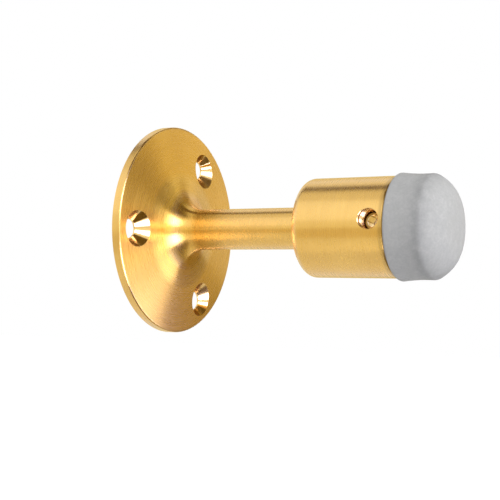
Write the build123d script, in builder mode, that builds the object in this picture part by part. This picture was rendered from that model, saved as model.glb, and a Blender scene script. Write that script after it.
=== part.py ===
"""Wall door stop: a one-piece brass base, post and barrel, a rubber bumper and the set screw that holds it.

Millimetres. +X points away from the wall, +Z is up, and the origin is the centre of the wall face.
"""
from build123d import *
import os
from math import asin, cos, degrees, radians, sin, tan

# Base plate, on the wall
base_diameter = 62.0
rim_thickness = 2.5
rim_edge_radius = 0.6
face_slope = 6.0            # degrees that the front face rises towards the post
neck_flare_radius = 7.0     # hollow sweep from the face into the post

# Three countersunk holes for the wall screws
hole_count = 3
hole_circle_diameter = 47.0
hole_circle_drop = 1.0      # the circle's centre sits this far below the post's axis
hole_diameter = 5.5
sink_diameter = 10.5        # across the mouth, where the face meets the hole's axis
sink_angle = 82.0
first_hole_angle = 177.0    # degrees about +X from +Y

# Post and barrel
post_diameter = 12.0
barrel_start = 46.8         # from the wall face
barrel_length = 27.7
barrel_diameter = 28.0
barrel_root_radius = 1.0
barrel_shoulder_radius = 2.5
barrel_edge_radius = 0.8

# Drilled socket in the barrel's end
socket_diameter = 12.0
socket_depth = 16.0
drill_point_angle = 118.0

# Rubber bumper, pushed into the socket until its head seats on the barrel
shank_clearance = 0.15      # radial, in the socket
shank_length = 14.0
shank_chamfer = 1.0
head_back_diameter = 29.7
head_back_radius = 0.6
head_front_diameter = 28.7
head_side_length = 9.7
head_side_hollow = 0.25     # how far the side dips in between its two edges
head_edge_radius = 0.6
dome_height = 5.8
crown_radius = 48.0         # flat middle of the striking face
crown_diameter = 16.0       # where the crown gives way to the rounder shoulder

# Set screw through the barrel's side, pressing on the shank
screw_from_barrel_end = 4.4
screw_turn = 9.0            # degrees about +X from -Y towards +Z
screw_hole_diameter = 5.6
screw_mouth_diameter = 6.1
screw_mouth_angle = 90.0
thread_clearance = 0.05     # radial
screw_seat_clearance = 0.05
screw_length = 4.0
screw_chamfer = 0.5
hex_across_flats = 3.0
hex_depth = 2.2

# Places that follow from those sizes
base_radius = base_diameter / 2
post_radius = post_diameter / 2
barrel_radius = barrel_diameter / 2
barrel_end = barrel_start + barrel_length
socket_radius = socket_diameter / 2
socket_floor = barrel_end - socket_depth
shank_radius = socket_radius - shank_clearance
shank_end = barrel_end - shank_length
head_edge = barrel_end + head_side_length
projection = head_edge + dome_height
crown_angle = degrees(asin(crown_diameter / 2 / crown_radius))
screw_radius = screw_hole_diameter / 2 - thread_clearance
screw_tip = shank_radius + screw_seat_clearance


def face_height(radius):
    """Distance of the plate's sloping front face from the wall, at a radius."""
    return rim_thickness + (base_radius - radius) * tan(radians(face_slope))


# The hole circle on the wall, seen from the room, and the set screw's axis out of the barrel's near side
hole_plane = Plane(origin=(0, 0, -hole_circle_drop), x_dir=(0, 1, 0), z_dir=(1, 0, 0))
screw_plane = Plane(
    origin=(barrel_end - screw_from_barrel_end, 0, 0),
    x_dir=(1, 0, 0),
    z_dir=(0, -cos(radians(screw_turn)), sin(radians(screw_turn))),
)

# Body: half of the section, from the wall to the bottom of the socket, turned about the axis
with BuildPart() as body:
    with BuildSketch(Plane.XY):
        with BuildLine():
            drill_point = socket_radius / tan(radians(drill_point_angle / 2))
            section = FilletPolyline(
                (0, 0),
                (0, base_radius),
                (rim_thickness, base_radius),
                (face_height(post_radius), post_radius),
                (barrel_start, post_radius),
                (barrel_start, barrel_radius),
                (barrel_end, barrel_radius),
                (barrel_end, socket_radius),
                (socket_floor, socket_radius),
                (socket_floor - drill_point, 0),
                radius=[
                    0,
                    rim_edge_radius,
                    neck_flare_radius,
                    barrel_root_radius,
                    barrel_shoulder_radius,
                    barrel_edge_radius,
                    0,
                    0,
                ],
            )
            Line(section @ 1, section @ 0)
        make_face()
    revolve(axis=Axis.X)

    # The cones run on past the sloping face, so that each mouth is cut clean all round
    hole_circle_radius = hole_circle_diameter / 2
    sink_radius = sink_diameter / 2
    sink_reach = 2 * sink_radius * tan(radians(face_slope)) + rim_edge_radius
    sink_top_radius = sink_radius + sink_reach * tan(radians(sink_angle / 2))
    with Locations(hole_plane.offset(face_height(hole_circle_radius) + sink_reach)):
        with PolarLocations(hole_circle_radius, hole_count, start_angle=first_hole_angle):
            CounterSinkHole(hole_diameter / 2, sink_top_radius, counter_sink_angle=sink_angle)

    # Set screw hole, from the barrel's side into the socket
    with Locations(screw_plane.offset(barrel_radius)):
        CounterSinkHole(
            screw_hole_diameter / 2,
            screw_mouth_diameter / 2,
            depth=barrel_radius,
            counter_sink_angle=screw_mouth_angle,
        )

# Bumper: a shank, a slightly tapered head and a domed striking face
with BuildPart() as bumper:
    with BuildSketch(Plane.XY) as bumper_section:
        with BuildLine():
            tip = (projection, 0)
            dome_edge = (head_edge, head_front_diameter / 2)
            head_back = (barrel_end, head_back_diameter / 2)
            crown = JernArc(tip, tangent=(0, 1), radius=crown_radius, arc_size=crown_angle)
            TangentArc(crown @ 1, dome_edge, tangent=crown % 1)
            SagittaArc(dome_edge, head_back, head_side_hollow)
            Polyline(
                head_back,
                (barrel_end, shank_radius),
                (shank_end + shank_chamfer, shank_radius),
                (shank_end, shank_radius - shank_chamfer),
                (shank_end, 0),
                tip,
            )
        make_face()
        fillet(bumper_section.vertices().sort_by_distance(dome_edge)[0], head_edge_radius)
        fillet(bumper_section.vertices().sort_by_distance(head_back)[0], head_back_radius)
    revolve(axis=Axis.X)

# Set screw: a headless screw with a hexagon socket, its point on the shank
with BuildPart() as set_screw:
    with BuildSketch(screw_plane.offset(screw_tip)):
        Circle(screw_radius)
    extrude(amount=screw_length)
    chamfer(set_screw.edges().filter_by(GeomType.CIRCLE), screw_chamfer)
    with BuildSketch(screw_plane.offset(screw_tip + screw_length)):
        RegularPolygon(hex_across_flats / 2, side_count=6, major_radius=False)
    extrude(amount=-hex_depth, mode=Mode.SUBTRACT)

os.makedirs("parts", exist_ok=True)
body.part.label = "body"
bumper.part.label = "bumper"
set_screw.part.label = "set_screw"
export_step(body.part, "parts/body.step")
export_step(bumper.part, "parts/bumper.step")
export_step(set_screw.part, "parts/set_screw.step")
print(f"projection {projection:.1f} mm, base {base_diameter:.1f} mm across")
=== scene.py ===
# %% [markdown]
# A wall door stop: a turned brass base, post and barrel, with a grey rubber bumper held by a small screw.
# The imported frame holds the solids in metres, with +X away from the wall and +Z up. Sizes on the
# stop are written in millimetres, and
# MM turns them into metres where Blender needs them.

# %% Load the frame
import math
import bpy
from mathutils import Matrix, Vector


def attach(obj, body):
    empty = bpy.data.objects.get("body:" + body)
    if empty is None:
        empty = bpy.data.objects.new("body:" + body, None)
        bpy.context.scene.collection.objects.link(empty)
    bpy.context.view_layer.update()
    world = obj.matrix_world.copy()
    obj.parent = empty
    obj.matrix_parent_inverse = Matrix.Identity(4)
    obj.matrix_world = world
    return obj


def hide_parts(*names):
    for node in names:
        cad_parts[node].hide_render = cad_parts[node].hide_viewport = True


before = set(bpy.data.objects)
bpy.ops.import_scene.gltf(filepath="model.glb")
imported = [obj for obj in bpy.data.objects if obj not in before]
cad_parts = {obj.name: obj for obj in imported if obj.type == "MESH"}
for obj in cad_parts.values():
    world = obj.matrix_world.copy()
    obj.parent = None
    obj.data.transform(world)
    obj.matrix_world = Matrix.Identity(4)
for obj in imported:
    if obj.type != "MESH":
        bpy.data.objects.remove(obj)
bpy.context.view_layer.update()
scene = bpy.context.scene
scene.view_settings.view_transform = "Standard"
MM = 0.001

# %% [markdown]
# The photograph was taken level with the post, from the side where the set screw is, with a long lens. A
# camera can be turned by hand until it looks right, but a matrix built from its angles is exact. The
# angles, the shifts and the distance come from fitting the outline of the base and the barrel.

# %% Camera
azimuth, elevation, roll = (math.radians(a) for a in (29.524, 0.21, -0.242))
shift_right, shift_up, camera_distance = 23.412, -6.075, 338.5
sensor_width, focal_length = 36.0, 80.02

away = Vector((
    math.sin(azimuth) * math.cos(elevation),
    -math.cos(azimuth) * math.cos(elevation),
    math.sin(elevation),
))
level = Vector((math.cos(azimuth), math.sin(azimuth), 0.0))
upright = away.cross(level)
image_right = math.cos(roll) * level + math.sin(roll) * upright
image_up = math.cos(roll) * upright - math.sin(roll) * level
camera_place = MM * (shift_right * image_right + shift_up * image_up + camera_distance * away)
camera_turn = Matrix((image_right, image_up, away)).transposed().to_4x4()

camera = bpy.data.objects.new("camera", bpy.data.cameras.new("camera"))
scene.collection.objects.link(camera)
camera.data.sensor_width = sensor_width
camera.data.lens = focal_length
camera.data.clip_start = 0.01
camera.matrix_world = Matrix.Translation(camera_place) @ camera_turn
scene.camera = camera
print("camera at", [round(c, 4) for c in camera_place])

# %% [markdown]
# The stop hangs in a white studio. The world is white to the camera and in reflections, so that the brass
# has white around it, and softer as light on the object, so that the rubber keeps its tone. The world's
# shader is a small net of nodes, like every material below. Adding a node, setting it and wiring it by
# hand takes three lines each, so one helper does all three: a socket given as a value is linked, anything
# else is set.

# %% White world
ambient_strength, backdrop_strength = 0.58, 1.0
white = (1.0, 1.0, 1.0, 1.0)


def put(tree, kind, values=None, **settings):
    """Adds a shader node, with its settings, and sets or links its inputs."""
    node = tree.nodes.new("ShaderNode" + kind)
    for name, value in settings.items():
        setattr(node, name, value)
    for key, value in (values or {}).items():
        if isinstance(value, bpy.types.NodeSocket):
            tree.links.new(value, node.inputs[key])
        else:
            node.inputs[key].default_value = value
    return node


def reckon(tree, operation, a, b=0.0):
    """The result of one Math node."""
    return put(tree, "Math", {0: a, 1: b}, operation=operation).outputs[0]


def seen_by(tree, rays):
    """1 for rays from the camera and those that metal and glass send on, from a Light Path node."""
    seen = reckon(tree, "MAXIMUM", rays.outputs["Is Camera Ray"], rays.outputs["Is Glossy Ray"])
    return reckon(tree, "MAXIMUM", seen, rays.outputs["Is Transmission Ray"])


world = bpy.data.worlds.new("white_studio")
scene.world = world
world.use_nodes = True
sky = world.node_tree
ambient = sky.nodes["Background"]
ambient.inputs["Color"].default_value = white
ambient.inputs["Strength"].default_value = ambient_strength
backdrop = put(sky, "Background", {"Color": white, "Strength": backdrop_strength})
seen_rays = seen_by(sky, put(sky, "LightPath"))
blend = put(sky, "MixShader", {0: seen_rays, 1: ambient.outputs[0], 2: backdrop.outputs[0]})
sky.links.new(blend.outputs[0], sky.nodes["World Output"].inputs["Surface"])
print("world seen at", backdrop_strength, "and as light at", ambient_strength)

# %% [markdown]
# The floor is a wide sheet of white paper well below the stop, where it takes the shadow out of the
# picture. Paper so far from the lamps would look grey, so it glows a little, but only to the camera and
# in reflections. More lamps would whiten it too, and would burn out the brass.

# %% Floor
floor_width, floor_height = 6.0, -0.35
camera_glow, seen_glow = 0.35, 0.25

bpy.ops.object.select_all(action="DESELECT")
bpy.ops.mesh.primitive_plane_add(size=floor_width, location=(0.0, 0.0, floor_height))
floor = bpy.context.object
floor.name = "studio_floor"
paper = bpy.data.materials.new("white_paper")
paper.use_nodes = True
tree = paper.node_tree
shader = tree.nodes["Principled BSDF"]
shader.inputs["Base Color"].default_value = (0.93, 0.93, 0.93, 1.0)
shader.inputs["Roughness"].default_value = 0.9
rays = put(tree, "LightPath")
to_camera = reckon(tree, "MULTIPLY", rays.outputs["Is Camera Ray"], camera_glow)
to_all_seen = reckon(tree, "MULTIPLY", seen_by(tree, rays), seen_glow)
glow = put(tree, "Emission", {"Strength": reckon(tree, "ADD", to_camera, to_all_seen)})
both = put(tree, "AddShader", {0: shader.outputs[0], 1: glow.outputs[0]})
tree.links.new(both.outputs[0], tree.nodes["Material Output"].inputs["Surface"])
floor.data.materials.append(paper)
print("floor at", floor.location.z)

# %% [markdown]
# Brushed metal shows its surroundings more than its own colour, so the lights are large soft boxes. Each
# is given by the direction it stands in, seen from the stop, then its distance, width and height in
# metres, how bright its face is, where 1 is paper white, and its tint. Yellow metal mirrors a white lamp
# as yellow, so the lamps that make white glints are tinted blue. A lamp that shapes the matte rubber
# would burn out the brass, so one box lights only matte surfaces, and the tinted boxes show only in
# reflections.

# %% Soft boxes
stop_middle = Vector((0.04, 0.0, 0.0))
plain, cool = (1.0, 1.0, 1.0), (0.95, 1.0, 2.4)
soft_boxes = {
    "right_box": ((0.97, -0.20, 0.10), 0.50, 0.28, 0.14, 1.6, plain),
    "right_low_box": ((0.96, 0.02, -0.22), 0.50, 0.26, 0.12, 3.0, plain),
    "right_below_box": ((0.73, 0.55, -0.40), 0.45, 0.24, 0.20, 1.9, (0.95, 1.0, 2.2)),
    "high_fill_box": ((0.78, -0.42, 0.45), 0.50, 0.20, 0.25, 8.2, plain),
    "glint_high_box": ((0.80, -0.43, 0.41), 0.50, 0.32, 0.22, 5.2, cool),
    "glint_low_box": ((0.79, -0.39, -0.47), 0.50, 0.32, 0.29, 6.6, cool),
    "front_above_box": ((-0.30, -0.74, 0.58), 0.60, 0.90, 0.46, 0.24, (0.68, 0.90, 2.2)),
}
lights_matte = ("right_box", "right_low_box", "high_fill_box")
lights_only_matte = ("high_fill_box",)


def face_the_stop(thing, direction, distance):
    """Stands a lamp or card off the stop in a direction, turned to face it."""
    direction = Vector(direction).normalized()
    thing.location = stop_middle + distance * direction
    thing.rotation_euler = direction.to_track_quat("Z", "Y").to_euler()


for name, (direction, distance, width, height, brightness, tint) in soft_boxes.items():
    lamp = bpy.data.lights.new(name, "AREA")
    lamp.shape = "RECTANGLE"
    lamp.size, lamp.size_y = width, height
    lamp.energy = brightness * math.pi * width * height
    lamp.color = tint
    box = bpy.data.objects.new(name, lamp)
    scene.collection.objects.link(box)
    face_the_stop(box, direction, distance)
    box.visible_camera = False
    box.visible_diffuse = name in lights_matte
    box.visible_glossy = name not in lights_only_matte
    print(name, f"{lamp.energy:.2f} W")

# %% [markdown]
# White all round would leave the brass flat, so photographers hang brown and black cards out of the
# picture. The metal mirrors them as the darker bands. They are seen only in reflections and cast no
# shadow. Each is given by its direction, distance, width, height and colour. A card that only glows keeps
# its colour whatever the lamps do, so the bands can be set one by one.

# %% Dark cards
dark_cards = {
    "card_back": ((0.52, 0.85, 0.02), 0.65, 0.46, 0.40, (0.84, 0.68, 0.22)),
    "card_right_back": ((0.80, 0.56, 0.26), 0.60, 0.28, 0.28, (0.20, 0.15, 0.05)),
    "card_top": ((0.0, 0.15, 0.97), 0.60, 2.20, 0.16, (0.14, 0.09, 0.01)),
    "card_right_above": ((0.50, 0.28, 0.82), 0.50, 0.60, 0.24, (0.15, 0.10, 0.02)),
    "card_right_under": ((0.50, 0.28, -0.82), 0.38, 0.46, 0.18, (0.15, 0.10, 0.02)),
    "card_over": ((0.34, -0.06, 0.94), 0.36, 0.38, 0.20, (0.12, 0.08, 0.02)),
    "card_under": ((0.33, -0.08, -0.94), 0.32, 0.46, 0.20, (0.12, 0.08, 0.02)),
    "card_back_above": ((0.15, 0.76, 0.63), 0.55, 0.30, 0.24, (0.30, 0.22, 0.06)),
    "card_back_below": ((0.18, 0.87, -0.46), 0.48, 0.44, 0.34, (0.30, 0.21, 0.04)),
    "card_back_far": ((0.25, 0.97, 0.0), 0.60, 0.14, 0.30, (0.58, 0.45, 0.12)),
    "card_left_back": ((-0.50, 0.86, 0.0), 0.60, 0.50, 0.90, (0.85, 0.70, 0.30)),
    "card_front_below": ((0.0, -0.95, -0.20), 0.60, 0.90, 0.24, (0.75, 0.66, 0.41)),
}

for name, (direction, distance, width, height, colour) in dark_cards.items():
    bpy.ops.object.select_all(action="DESELECT")
    bpy.ops.mesh.primitive_plane_add(size=1.0)
    card = bpy.context.object
    card.name = name
    card.scale = (width, height, 1.0)
    face_the_stop(card, direction, distance)
    felt = bpy.data.materials.new(name)
    felt.use_nodes = True
    glow = put(felt.node_tree, "Emission", {"Color": (*colour, 1.0), "Strength": 1.0})
    felt.node_tree.links.new(glow.outputs[0], felt.node_tree.nodes["Material Output"].inputs["Surface"])
    card.data.materials.append(felt)
    card.visible_camera = card.visible_diffuse = card.visible_shadow = False
print("cards", len(dark_cards))

# %% [markdown]
# The brass was turned in a lathe and finished with fine abrasive while it spun, so its scratches run
# round the axis. A picture of scratches would need an unwrapped mesh. Noise that changes quickly along
# the profile and slowly round the axis gives the same lines on every turned face. The screw shares it, so
# it is a node group.

# %% Node group: lines left by turning
across_axis = (0.0, 1.0, 1.0)       # a place times this has no part along the axis left


def new_group(name, inputs, outputs):
    """An empty shader node group with its inputs and outputs, each a label and a kind of socket."""
    group = bpy.data.node_groups.new(name, "ShaderNodeTree")
    for label, kind in inputs:
        group.interface.new_socket(label, in_out="INPUT", socket_type=kind)
    for label, kind in outputs:
        group.interface.new_socket(label, in_out="OUTPUT", socket_type=kind)
    return group, group.nodes.new("NodeGroupInput"), group.nodes.new("NodeGroupOutput")


def vector(tree, operation, a, b=(0.0, 0.0, 0.0)):
    """The result of one Vector Math node: a number for a length, a distance or a dot product."""
    node = put(tree, "VectorMath", {0: a, 1: b}, operation=operation)
    return node.outputs["Value" if operation in ("LENGTH", "DISTANCE", "DOT_PRODUCT") else "Vector"]


turned_lines, given, result = new_group(
    "turned_lines",
    [("Place", "NodeSocketVector"), ("Lines per metre", "NodeSocketFloat"), ("Broken", "NodeSocketFloat")],
    [("Lines", "NodeSocketFloat"), ("Bands", "NodeSocketFloat")],
)
split = put(turned_lines, "SeparateXYZ", {0: given.outputs["Place"]})
around = vector(turned_lines, "MULTIPLY", given.outputs["Place"], across_axis)
profile = reckon(turned_lines, "SUBTRACT", split.outputs["X"], vector(turned_lines, "LENGTH", around))
lines = reckon(turned_lines, "MULTIPLY", profile, given.outputs["Lines per metre"])
turn = vector(turned_lines, "NORMALIZE", around)
breaks = vector(turned_lines, "MULTIPLY", turn, given.outputs["Broken"])
swept = vector(turned_lines, "ADD", put(turned_lines, "CombineXYZ", {0: lines}).outputs[0], breaks)
fine = put(turned_lines, "TexNoise", {"Vector": swept, "Scale": 1.0, "Detail": 2.0, "Roughness": 0.5})
broad = put(turned_lines, "TexNoise", {"Vector": swept, "Scale": 0.26, "Detail": 2.0})
turned_lines.links.new(fine.outputs["Fac"], result.inputs["Lines"])
turned_lines.links.new(broad.outputs["Fac"], result.inputs["Bands"])
print("group", turned_lines.name, len(turned_lines.nodes), "nodes")

# %% [markdown]
# Handled brass and moulded rubber are both slightly blotchy. One group of soft clouds does for both, with
# its own size in each material, and it puts out a mask from 0 to 1.

# %% Node group: soft blotches
soft_blotches, given, result = new_group(
    "soft_blotches",
    [("Place", "NodeSocketVector"), ("Per metre", "NodeSocketFloat")],
    [("Mask", "NodeSocketFloat")],
)
clouds = put(soft_blotches, "TexNoise", {
    "Vector": given.outputs["Place"],
    "Scale": given.outputs["Per metre"],
    "Detail": 3.0,
    "Roughness": 0.55,
})
spread = put(soft_blotches, "MapRange", {"Value": clouds.outputs["Fac"], "From Min": 0.3, "From Max": 0.7})
soft_blotches.links.new(spread.outputs["Result"], result.inputs["Mask"])
print("group", soft_blotches.name, len(soft_blotches.nodes), "nodes")

# %% [markdown]
# The countersinks were cut after the brushing, so their walls are bright and smooth. They could be picked
# out face by face, but a rule holds for any mesh: a point is in a countersink if it is near a hole's axis
# and lies below the plate's sloping face. The plate's flat back is kept out of it. The holes stand on a
# circle whose centre is 1 mm below the post.

# %% Node group: the countersinks
rim_height, base_radius, face_slope = 2.5, 31.0, math.tan(math.radians(6.0))
hole_circle_radius, hole_drop, hole_angles = 23.5, 1.0, (177.0, 297.0, 57.0)
sink_reach = 6.0                            # a little more than the radius of a countersink's mouth
cut_begins, cut_is_full = 0.01, 0.06        # depths below the face
back_skin = 0.01

fresh_cuts, given, result = new_group(
    "fresh_cuts",
    [("Place", "NodeSocketVector"), ("Normal", "NodeSocketVector")],
    [("Sinks", "NodeSocketFloat"), ("Bore", "NodeSocketFloat"), ("Normal", "NodeSocketVector")],
)
along = put(fresh_cuts, "SeparateXYZ", {0: given.outputs["Place"]}).outputs["X"]
flat = vector(fresh_cuts, "MULTIPLY", given.outputs["Place"], across_axis)
from_rim = reckon(fresh_cuts, "SUBTRACT", base_radius * MM, vector(fresh_cuts, "LENGTH", flat))
face = reckon(fresh_cuts, "ADD", reckon(fresh_cuts, "MULTIPLY", from_rim, face_slope), rim_height * MM)
depth = reckon(fresh_cuts, "SUBTRACT", face, along)

nearest, inward = 1.0, (0.0, 0.0, 0.0)
for angle in hole_angles:
    ray = Vector((0.0, math.cos(math.radians(angle)), math.sin(math.radians(angle))))
    hole = MM * (hole_circle_radius * ray - Vector((0.0, 0.0, hole_drop)))
    gap = vector(fresh_cuts, "DISTANCE", flat, hole)
    here = reckon(fresh_cuts, "LESS_THAN", gap, sink_reach * MM)
    to_hole = vector(fresh_cuts, "SUBTRACT", hole, flat)
    inward = vector(fresh_cuts, "ADD", inward, vector(fresh_cuts, "MULTIPLY", to_hole, here))
    nearest = reckon(fresh_cuts, "MINIMUM", nearest, gap)

below = put(fresh_cuts, "MapRange", {
    "Value": depth, "From Min": cut_begins * MM, "From Max": cut_is_full * MM,
}).outputs["Result"]
near = reckon(fresh_cuts, "LESS_THAN", nearest, sink_reach * MM)
off_the_back = reckon(fresh_cuts, "GREATER_THAN", along, back_skin * MM)
sunk = reckon(fresh_cuts, "MULTIPLY", below, reckon(fresh_cuts, "MULTIPLY", near, off_the_back))
fresh_cuts.links.new(sunk, result.inputs["Sinks"])
print("countersinks", len(hole_angles))

# %% [markdown]
# A real countersink is a smooth cone, and its glints are clean. The solid's cones are made of flat
# facets, which would break them up. The frame's mesh stays as it is, so the group gives the true cone's
# normal instead: it points at the hole's axis and leans out of the plate. In the straight part of the
# hole it doesn't lean.

# %% Node group: true cones in the countersinks
straight_radius = 2.78      # the hole's own 2.75 and a little more
sink_half_angle = math.radians(41.0)

inward = vector(fresh_cuts, "NORMALIZE", inward)
on_cone = reckon(fresh_cuts, "GREATER_THAN", nearest, straight_radius * MM)
lean = reckon(fresh_cuts, "MULTIPLY", on_cone, math.tan(sink_half_angle))
outward = put(fresh_cuts, "CombineXYZ", {0: lean}).outputs[0]
cone = vector(fresh_cuts, "NORMALIZE", vector(fresh_cuts, "ADD", inward, outward))
smooth = put(fresh_cuts, "Mix", {0: sunk, 4: given.outputs["Normal"], 5: cone}, data_type="VECTOR")
fresh_cuts.links.new(smooth.outputs[1], result.inputs["Normal"])
print("cone normals lean by", round(math.tan(sink_half_angle), 3))

# %% [markdown]
# The set screw's hole was drilled through the barrel's near side. It is found by the distance from its
# own axis, which leaves the barrel a little above level. The axis also runs out of the far side, where
# there is no hole, so only the near half counts.

# %% Node group: the set screw's hole
screw_foot = MM * Vector((70.1, 0.0, 0.0))
screw_rise = math.radians(9.0)
screw_axis = Vector((0.0, -math.cos(screw_rise), math.sin(screw_rise)))
mouth_radius = 3.04

from_foot = vector(fresh_cuts, "SUBTRACT", given.outputs["Place"], screw_foot)
on_axis = vector(fresh_cuts, "PROJECT", from_foot, screw_axis)
off_axis = vector(fresh_cuts, "DISTANCE", from_foot, on_axis)
in_hole = reckon(fresh_cuts, "LESS_THAN", off_axis, mouth_radius * MM)
near_side = reckon(fresh_cuts, "GREATER_THAN", vector(fresh_cuts, "DOT_PRODUCT", from_foot, screw_axis))
fresh_cuts.links.new(reckon(fresh_cuts, "MULTIPLY", in_hole, near_side), result.inputs["Bore"])
print("group", fresh_cuts.name, len(fresh_cuts.nodes), "nodes")

# %% [markdown]
# Satin brass changes over the body. The barrel's shoulder is painted paler, a painted highlight,
# and the seam under the rubber is painted darker, as painted shade. Dull tarnish and a fine grain
# lie over all of it. Painted masks would tie these to one mesh, so they are reckoned from the
# place on the body.

# %% Satin brass: where it changes
barrel_start, barrel_end = 46.8, 74.5
# The shoulder's paler band is a painted highlight; the seam's darker band is painted shade.
shoulder_highlight_full, shoulder_highlight_none, shoulder_highlight_from = barrel_start + 0.4, barrel_start + 2.6, barrel_start - 0.1
seam_shade_full, seam_shade_none, seam_shade_share = barrel_end - 1.0, barrel_end - 1.9, 0.75


def new_finish(name):
    """A new material, with its tree, its shader and the place on the piece."""
    material = bpy.data.materials.new(name)
    material.use_nodes = True
    tree = material.node_tree
    return material, tree, tree.nodes["Principled BSDF"], put(tree, "TexCoord").outputs["Object"]


def use_group(tree, group, **values):
    """Places a node group in a material, with its inputs by name."""
    values = {key.replace("_", " "): value for key, value in values.items()}
    return put(tree, "Group", values, node_tree=group).outputs


def fade(tree, value, full, none):
    """A mask that is 1 where a value is at full and runs out smoothly to 0 at none, in millimetres."""
    span = {"Value": value, "From Min": none * MM, "From Max": full * MM}
    return put(tree, "MapRange", span, interpolation_type="SMOOTHSTEP").outputs["Result"]


satin_brass, tree, shader, place = new_finish("satin_brass")
brushing = use_group(tree, turned_lines, Place=place, Lines_per_metre=2600.0, Broken=2.5)
tarnish = use_group(tree, soft_blotches, Place=place, Per_metre=90.0)["Mask"]
grain = use_group(tree, soft_blotches, Place=place, Per_metre=260.0)["Mask"]
cuts = use_group(tree, fresh_cuts, Place=place, Normal=put(tree, "NewGeometry").outputs["Normal"])

along = put(tree, "SeparateXYZ", {0: place}).outputs["X"]
past_the_post = reckon(tree, "GREATER_THAN", along, shoulder_highlight_from * MM)
shoulder = reckon(tree, "MULTIPLY", fade(tree, along, shoulder_highlight_full, shoulder_highlight_none), past_the_post)
seam = reckon(tree, "MULTIPLY", fade(tree, along, seam_shade_full, seam_shade_none), seam_shade_share)
print("shoulder highlight from", shoulder_highlight_from, "mm, seam shade from", seam_shade_none, "mm")

# %% [markdown]
# The colour is laid on in layers: the brushed bands and lines, then tarnish and grain, then the painted
# highlight on the shoulder and the painted shade at the seam. The holes come last, because their walls
# have none of these; the screw's hole is painted darker brown, as painted shade. The white studio and
# the lacquer make the brass look paler, so the colours here are deep, and they lie close together.

# %% Satin brass: colour
dull_band, light_band = (0.76, 0.43, 0.05, 1.0), (0.92, 0.55, 0.085, 1.0)
line_gold, tarnish_brown = (0.95, 0.59, 0.11, 1.0), (0.72, 0.40, 0.045, 1.0)
grain_brown, shoulder_highlight_gold = (0.66, 0.37, 0.045, 1.0), (0.93, 0.66, 0.28, 1.0)
seam_shade_brown, cut_gold = (0.52, 0.30, 0.03, 1.0), (0.94, 0.62, 0.22, 1.0)
# The hole's darker brown is painted shade.
bore_shade_brown = (0.70, 0.41, 0.07, 1.0)
line_share, tarnish_share, grain_share = 0.4, 0.40, 0.18


def mix_colour(tree, factor, first, second):
    """A colour between two."""
    return put(tree, "Mix", {0: factor, 6: first, 7: second}, data_type="RGBA").outputs[2]


def between(tree, value, low, high):
    """A mask from 0 to 1 stretched between two numbers."""
    return put(tree, "MapRange", {"Value": value, "To Min": low, "To Max": high}).outputs["Result"]


banded = mix_colour(tree, brushing["Bands"], dull_band, light_band)
lined = mix_colour(tree, between(tree, brushing["Lines"], 0.0, line_share), banded, line_gold)
aged = mix_colour(tree, between(tree, tarnish, 0.0, tarnish_share), lined, tarnish_brown)
grainy = mix_colour(tree, between(tree, grain, 0.0, grain_share), aged, grain_brown)
shoulder_highlighted = mix_colour(tree, shoulder, grainy, shoulder_highlight_gold)
seam_shaded = mix_colour(tree, seam, shoulder_highlighted, seam_shade_brown)
sunk_bright = mix_colour(tree, cuts["Sinks"], seam_shaded, cut_gold)
bore_shaded = mix_colour(tree, cuts["Bore"], sunk_bright, bore_shade_brown)
tree.links.new(bore_shaded, shader.inputs["Base Color"])
print("colour from", dull_band[:3], "to", light_band[:3])

# %% [markdown]
# Light from scratched metal spreads across the scratches and stays sharp along them, which is what the
# shader's anisotropy does. Its tangent runs round the axis, so the rotation of a quarter turn spreads the
# light along the profile. The scratches also vary the roughness and lie in the surface as bump. The
# countersinks have none of them. On the real stop the flare runs out into the plate over a wider ring
# than the solid's fillet, so a low, broad bump carries the shading on as far as that.

# %% Satin brass: scratches and flare
smoothest, roughest, cut_roughness = 0.23, 0.33, 0.16
sweep_inner, sweep_outer, sweep_height = 7.0, 18.0, 1.8     # radii and height of the flare's foot
front_from, front_to = 1.0, 30.0                            # along the post
scratch_depth, scratch_strength = 0.008, 0.10

uncut = reckon(tree, "SUBTRACT", 1.0, cuts["Sinks"])
brushed = reckon(tree, "MULTIPLY", between(tree, brushing["Lines"], smoothest, roughest), uncut)
cut_smooth = reckon(tree, "MULTIPLY", cuts["Sinks"], cut_roughness)
tree.links.new(reckon(tree, "ADD", brushed, cut_smooth), shader.inputs["Roughness"])

from_axis = vector(tree, "LENGTH", vector(tree, "MULTIPLY", place, across_axis))
off_the_back = reckon(tree, "GREATER_THAN", along, front_from * MM)
on_front = reckon(tree, "MULTIPLY", off_the_back, reckon(tree, "LESS_THAN", along, front_to * MM))
sweep = reckon(tree, "MULTIPLY", fade(tree, from_axis, sweep_inner, sweep_outer), on_front)
blended = put(tree, "Bump", {
    "Height": sweep, "Strength": 1.0, "Distance": sweep_height * MM, "Normal": cuts["Normal"],
})
relief = put(tree, "Bump", {
    "Height": reckon(tree, "MULTIPLY", brushing["Lines"], uncut),
    "Strength": scratch_strength,
    "Distance": scratch_depth * MM,
    "Normal": blended.outputs[0],
})
tree.links.new(relief.outputs[0], shader.inputs["Normal"])
tangent = put(tree, "Tangent", direction_type="RADIAL", axis="X")
tree.links.new(tangent.outputs[0], shader.inputs["Tangent"])
shader.inputs["Metallic"].default_value = 1.0
shader.inputs["Anisotropic"].default_value = 0.90
shader.inputs["Anisotropic Rotation"].default_value = 0.25
print("flare's foot shaded out to", sweep_outer, "mm")

# %% [markdown]
# A clear lacquer keeps such brass from going brown. It gives the metal its pale sheen, which is white
# where the metal's own shine is yellow. It is thinner on the flare, where the photograph shows deeper
# gold between the glints, and missing in the countersinks. The shader's coat is this layer, so it needs
# no second shell.

# %% Satin brass: lacquer
lacquer_full, lacquer_on_flare = 0.9, 0.35
flare_radius_full, flare_radius_none = 10.0, 16.0
flare_along_full, flare_along_none = 9.0, 26.0

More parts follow.
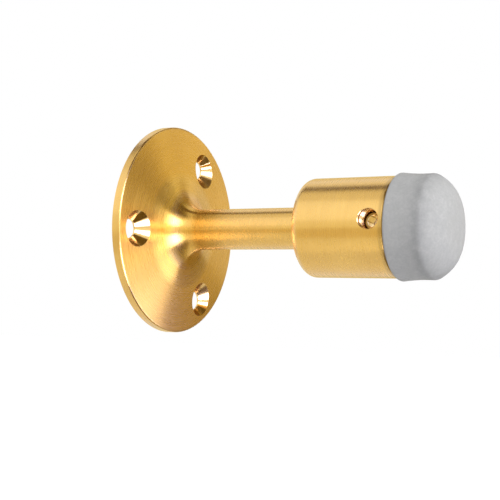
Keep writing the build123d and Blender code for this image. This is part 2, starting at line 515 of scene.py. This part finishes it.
flare_round = fade(tree, from_axis, flare_radius_full, flare_radius_none)
on_flare = reckon(tree, "MULTIPLY", flare_round, fade(tree, along, flare_along_full, flare_along_none))
lacquer = reckon(tree, "MULTIPLY", uncut, between(tree, on_flare, lacquer_full, lacquer_on_flare))
tree.links.new(lacquer, shader.inputs["Coat Weight"])
shader.inputs["Coat IOR"].default_value = 1.75
shader.inputs["Coat Roughness"].default_value = 0.29

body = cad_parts["body"]
body.data.materials.clear()
body.data.materials.append(satin_brass)
print("satin brass on", body.name, len(tree.nodes), "nodes")

# %% [markdown]
# The bumper is moulded rubber: matte, a little cloudy, with a fine grain from the mould. Where the domed
# face meets the side, a darker band is painted shade in the crease. It follows the edge by its place along
# the post, so it needs no painted mask, and the clouds make it uneven.

# %% Grey rubber
head_edge = 84.2
# The darker band at the crease is painted shade.
crease_shade_middle, crease_shade_reach, crease_shade_share = head_edge - 0.4, 3.5, 0.34
crease_shade_thick, crease_shade_thin = 1.3, 0.6
speckle_share, grain_strength, grain_depth = 0.5, 0.25, 0.02
rubber_smoothest, rubber_roughest = 0.58, 0.72
grey_dark, grey_light = (0.45, 0.45, 0.445, 1.0), (0.51, 0.51, 0.505, 1.0)
speckle_grey, crease_shade_grey = (0.37, 0.37, 0.38, 1.0), (0.24, 0.24, 0.25, 1.0)

grey_rubber, tree, shader, place = new_finish("grey_rubber")
cloudy = use_group(tree, soft_blotches, Place=place, Per_metre=420.0)["Mask"]
grain = use_group(tree, soft_blotches, Place=place, Per_metre=1700.0)["Mask"]
along = put(tree, "SeparateXYZ", {0: place}).outputs["X"]
from_edge = reckon(tree, "ABSOLUTE", reckon(tree, "SUBTRACT", along, crease_shade_middle * MM))
crease_shade_span = {"Value": from_edge, "From Max": crease_shade_reach * MM, "To Min": crease_shade_share, "To Max": 0.0}
crease_shaded = put(tree, "MapRange", crease_shade_span, interpolation_type="SMOOTHERSTEP").outputs["Result"]
uneven = reckon(tree, "MULTIPLY", crease_shaded, between(tree, cloudy, crease_shade_thick, crease_shade_thin))

grey = mix_colour(tree, cloudy, grey_dark, grey_light)
speckled = mix_colour(tree, between(tree, grain, 0.0, speckle_share), grey, speckle_grey)
tree.links.new(mix_colour(tree, uneven, speckled, crease_shade_grey), shader.inputs["Base Color"])
tree.links.new(between(tree, cloudy, rubber_smoothest, rubber_roughest), shader.inputs["Roughness"])
relief = put(tree, "Bump", {"Height": grain, "Strength": grain_strength, "Distance": grain_depth * MM})
tree.links.new(relief.outputs[0], shader.inputs["Normal"])
shader.inputs["Specular IOR Level"].default_value = 0.06
print("grey rubber", len(tree.nodes), "nodes")

# %% [markdown]
# The bumper is round, so half of its outline is enough: one point is extruded along it, to be spun round
# the post's axis. A cylinder pulled into shape would need every ring moved by hand. The striking face is
# flat in the middle and rolls over towards its edge, which a power of the radius gives in one line. The
# side tapers and is a little hollow, and a shank goes into the barrel.

# %% Bumper: its outline
tip, shank_end = 90.0, 60.5
face_radius, back_radius, shank_radius = 14.35, 14.85, 5.85
dome_power, side_dip, side_steps = 4.3, 1.0, 6
dome_radii = (0.0, 3.0, 6.0, 8.0, 9.5, 10.8, 11.9, 12.8, 13.5, 14.0, face_radius)


def start_outline(name, first):
    """A new object in edit mode that is a single point, at the start of an outline in millimetres."""
    bpy.ops.object.select_all(action="DESELECT")
    bpy.ops.mesh.primitive_plane_add(size=1.0)
    piece = bpy.context.object
    piece.name = piece.data.name = name
    bpy.ops.object.mode_set(mode="EDIT")
    bpy.ops.mesh.select_all(action="SELECT")
    bpy.ops.mesh.merge(type="CENTER")
    bpy.ops.transform.translate(value=MM * Vector((first[0], 0.0, first[1])))
    return piece


def draw_outline(points):
    """Extrudes the selected point on through the others, given as (along the axis, radius)."""
    for (x0, r0), (x1, r1) in zip(points, points[1:]):
        step = MM * Vector((x1 - x0, 0.0, r1 - r0))
        bpy.ops.mesh.extrude_region_move(TRANSFORM_OT_translate={"value": step})


dome = [(tip - (tip - head_edge) * (r / face_radius) ** dome_power, r) for r in dome_radii]
side = []
for share in (i / side_steps for i in range(1, side_steps + 1)):
    taper = face_radius + (back_radius - face_radius) * share
    side.append((head_edge - (head_edge - barrel_end) * share, taper - side_dip * share * (1.0 - share)))
shank = [(barrel_end, shank_radius), (shank_end, shank_radius), (shank_end, 0.0)]
outline = dome + side + shank
bumper = start_outline("rubber_bumper", outline[0])
draw_outline(outline)
print("outline points", len(outline))

# %% [markdown]
# Moulded rubber has no sharp corners. Rounding them after the spin would bevel whole rings of edges, so
# the outline's three corner points are bevelled first, and the rounding is spun with the rest.

# %% Bumper: rounded and spun
corner_radius, corner_segments = 0.6, 5
bumper_steps, crease_angle = 128, math.radians(50.0)
weld_distance = 0.01


def pick_points(piece, places, reach=0.01):
    """Selects a piece's points at (along, radius) places in millimetres, and leaves it in edit mode."""
    for vertex in piece.data.vertices:
        x, r = vertex.co.x / MM, math.hypot(vertex.co.y, vertex.co.z) / MM
        vertex.select = any(abs(x - px) < reach and abs(r - pr) < reach for px, pr in places)
    bpy.ops.object.mode_set(mode="EDIT")
    bpy.ops.mesh.select_mode(type="VERT")


def spin_outline(steps):
    """Spins the outline in edit mode round the axis and closes its seam."""
    bpy.ops.mesh.select_all(action="SELECT")
    bpy.ops.mesh.spin(steps=steps, angle=2.0 * math.pi, center=(0.0, 0.0, 0.0), axis=(1.0, 0.0, 0.0))
    bpy.ops.mesh.select_all(action="SELECT")
    bpy.ops.mesh.remove_doubles(threshold=weld_distance * MM)
    bpy.ops.mesh.normals_make_consistent(inside=False)
    bpy.ops.object.mode_set(mode="OBJECT")


bpy.ops.object.mode_set(mode="OBJECT")
pick_points(bumper, [(head_edge, face_radius), (barrel_end, back_radius), (shank_end, shank_radius)])
bpy.ops.mesh.bevel(offset=corner_radius * MM, affect="VERTICES", segments=corner_segments)
spin_outline(bumper_steps)
bpy.ops.object.shade_smooth_by_angle(angle=crease_angle)
bumper.data.materials.append(grey_rubber)
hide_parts("bumper")
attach(bumper, "root")
print("bumper faces", len(bumper.data.polygons))

# %% [markdown]
# The set screw is headless and sits well inside its hole. Its core is a spun outline like the bumper's,
# with a chamfered point and a small break on its outer edge. It is made along the post's axis, where the
# outline helpers work, and turned into its hole at the end.

# %% Set screw: core
screw_tip, screw_top, core_radius = 5.9, 9.9, 2.45
edge_break, point_chamfer, round_steps = 0.1, 0.5, 48

core = [
    (screw_top, 0.0),
    (screw_top, core_radius - edge_break),
    (screw_top - edge_break, core_radius),
    (screw_tip + point_chamfer, core_radius),
    (screw_tip, core_radius - point_chamfer),
    (screw_tip, 0.0),
]
screw = start_outline("set_screw_threaded", core[0])
draw_outline(core)
spin_outline(round_steps)
print("core faces", len(screw.data.polygons))

# %% [markdown]
# A key turns the screw by a hexagon socket in its end. A spin gives only round shapes, so the socket is
# cut into the core by a six-sided prism. A shallow cone then breaks its sharp mouth, as on bought screws.
# Both tools are twice as deep as their cuts, because half of each stands outside the screw.

# %% Set screw: socket
hex_flat, hex_depth = 1.5, 2.2
mouth_break_inner, mouth_break_outer, mouth_break_depth = 1.2, 2.6, 0.4
screw_end, lying = (screw_top * MM, 0.0, 0.0), (0.0, math.pi / 2, 0.0)


def cut_away(piece, tool):
    """Cuts a tool's shape out of a piece and deletes the tool."""
    cut = piece.modifiers.new("cut", "BOOLEAN")
    cut.operation, cut.solver, cut.object = "DIFFERENCE", "EXACT", tool
    bpy.ops.object.select_all(action="DESELECT")
    bpy.context.view_layer.objects.active = piece
    piece.select_set(True)
    bpy.ops.object.modifier_apply(modifier=cut.name)
    bpy.data.objects.remove(tool)


bpy.ops.object.select_all(action="DESELECT")
bpy.ops.mesh.primitive_cylinder_add(
    vertices=6,
    radius=hex_flat * MM / math.cos(math.pi / 6),
    depth=2.0 * hex_depth * MM,
    location=screw_end,
    rotation=lying,
)
cut_away(screw, bpy.context.object)
bpy.ops.object.select_all(action="DESELECT")
bpy.ops.mesh.primitive_cone_add(
    vertices=round_steps,
    radius1=mouth_break_inner * MM,
    radius2=mouth_break_outer * MM,
    depth=2.0 * mouth_break_depth * MM,
    location=screw_end,
    rotation=lying,
)
cut_away(screw, bpy.context.object)
print("screw faces", len(screw.data.polygons))

# %% [markdown]
# A thread is one three-sided bead wound round the axis. Rings would be simpler, but they don't run on
# into each other. The Screw modifier winds the bead, once outwards on the screw and once inwards in the
# free part of the hole above it, where it catches the light.

# %% Threads
thread_pitch, bead_width, steps_per_turn = 0.5, 0.4, 40
screw_foot_radius, screw_crest = core_radius - 0.05, 2.74
screw_bead_start, screw_turns = screw_tip + point_chamfer, 5.5
hole_foot_radius, hole_crest = 2.83, 2.62
hole_thread_start, hole_thread_turns = screw_top + 0.05, 5.8


def wind_bead(name, start, foot_radius, crest_radius, turns):
    """A closed helical bead of triangular section along the axis."""
    section = [
        (start, foot_radius),
        (start + bead_width / 2, crest_radius),
        (start + bead_width, foot_radius),
    ]
    bead = start_outline(name, section[0])
    draw_outline(section)
    bpy.ops.mesh.select_all(action="SELECT")
    bpy.ops.mesh.edge_face_add()
    bpy.ops.mesh.delete(type="ONLY_FACE")
    bpy.ops.object.mode_set(mode="OBJECT")
    wind = bead.modifiers.new("wind", "SCREW")
    wind.axis, wind.angle, wind.screw_offset = "X", 2.0 * math.pi * turns, turns * thread_pitch * MM
    wind.steps = wind.render_steps = int(steps_per_turn * turns)
    bpy.ops.object.modifier_apply(modifier=wind.name)
    bpy.ops.object.mode_set(mode="EDIT")
    bpy.ops.mesh.select_all(action="SELECT")
    bpy.ops.mesh.fill_holes(sides=4)
    bpy.ops.mesh.select_all(action="SELECT")
    bpy.ops.mesh.normals_make_consistent(inside=False)
    bpy.ops.object.mode_set(mode="OBJECT")
    return bead


bead = wind_bead("screw_bead", screw_bead_start, screw_foot_radius, screw_crest, screw_turns)
hole_thread = wind_bead("hole_thread", hole_thread_start, hole_foot_radius, hole_crest, hole_thread_turns)
bpy.ops.object.select_all(action="DESELECT")
bead.select_set(True)
screw.select_set(True)
bpy.context.view_layer.objects.active = screw
bpy.ops.object.join()
print("threads", len(screw.data.polygons), len(hole_thread.data.polygons))

# %% [markdown]
# The screw was cut from bar and left as it came from the machine. It has no lacquer. Its outside is
# painted dark brown, as painted shade deep in its hole, and its socket pale gold, as a painted
# highlight. It uses the same turned lines as the body, in its own direction: the place on the piece
# is turned back to the screw's own axis first.

# %% Screw brass
screw_tilt = screw_axis.to_track_quat("X", "Z").to_euler()
# The dark browns are painted shade, and the socket's gold is a painted highlight.
shaded_dark_brown, shaded_light_brown = (0.30, 0.16, 0.03, 1.0), (0.42, 0.23, 0.05, 1.0)
socket_highlight_gold = (0.97, 0.80, 0.48, 1.0)
socket_full, socket_none = 1.60, 1.75
screw_smoothest, screw_roughest = 0.10, 0.24

screw_brass, tree, shader, place = new_finish("screw_brass")
to_own_axis = {"Vector": place, "Location": screw_foot, "Rotation": screw_tilt}
own_place = put(tree, "Mapping", to_own_axis, vector_type="TEXTURE").outputs[0]
facing = use_group(tree, turned_lines, Place=own_place, Lines_per_metre=6000.0, Broken=1.0)
screw_shaded = mix_colour(tree, facing["Bands"], shaded_dark_brown, shaded_light_brown)
off_axis = vector(tree, "LENGTH", vector(tree, "MULTIPLY", own_place, across_axis))
in_socket = fade(tree, off_axis, socket_full, socket_none)
tree.links.new(mix_colour(tree, in_socket, screw_shaded, socket_highlight_gold), shader.inputs["Base Color"])
tree.links.new(between(tree, facing["Lines"], screw_smoothest, screw_roughest), shader.inputs["Roughness"])
shader.inputs["Metallic"].default_value = 1.0
print("screw brass", len(tree.nodes), "nodes")

# %% [markdown]
# The screw and the hole's thread are turned together onto the hole's axis. The turn is applied to their
# meshes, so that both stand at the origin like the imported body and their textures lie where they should.
# The hole's thread is cut in the body, so it has the body's brass.

# %% Screw and thread in place
thread_crease = math.radians(35.0)

for piece, material, slot in (
    (screw, screw_brass, "screw_brass"),
    (hole_thread, satin_brass, "satin_brass"),
):
    bpy.ops.object.select_all(action="DESELECT")
    bpy.context.view_layer.objects.active = piece
    piece.select_set(True)
    piece.rotation_euler = screw_tilt
    piece.location = screw_foot
    bpy.ops.object.transform_apply(location=True, rotation=True, scale=True)
    bpy.ops.object.shade_smooth_by_angle(angle=thread_crease)
    piece.data.materials.clear()
    piece.data.materials.append(material)
    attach(piece, "root")
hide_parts("set_screw")
print("screw's outer end at", [round(c / MM, 2) for c in screw_foot + screw_top * MM * screw_axis])
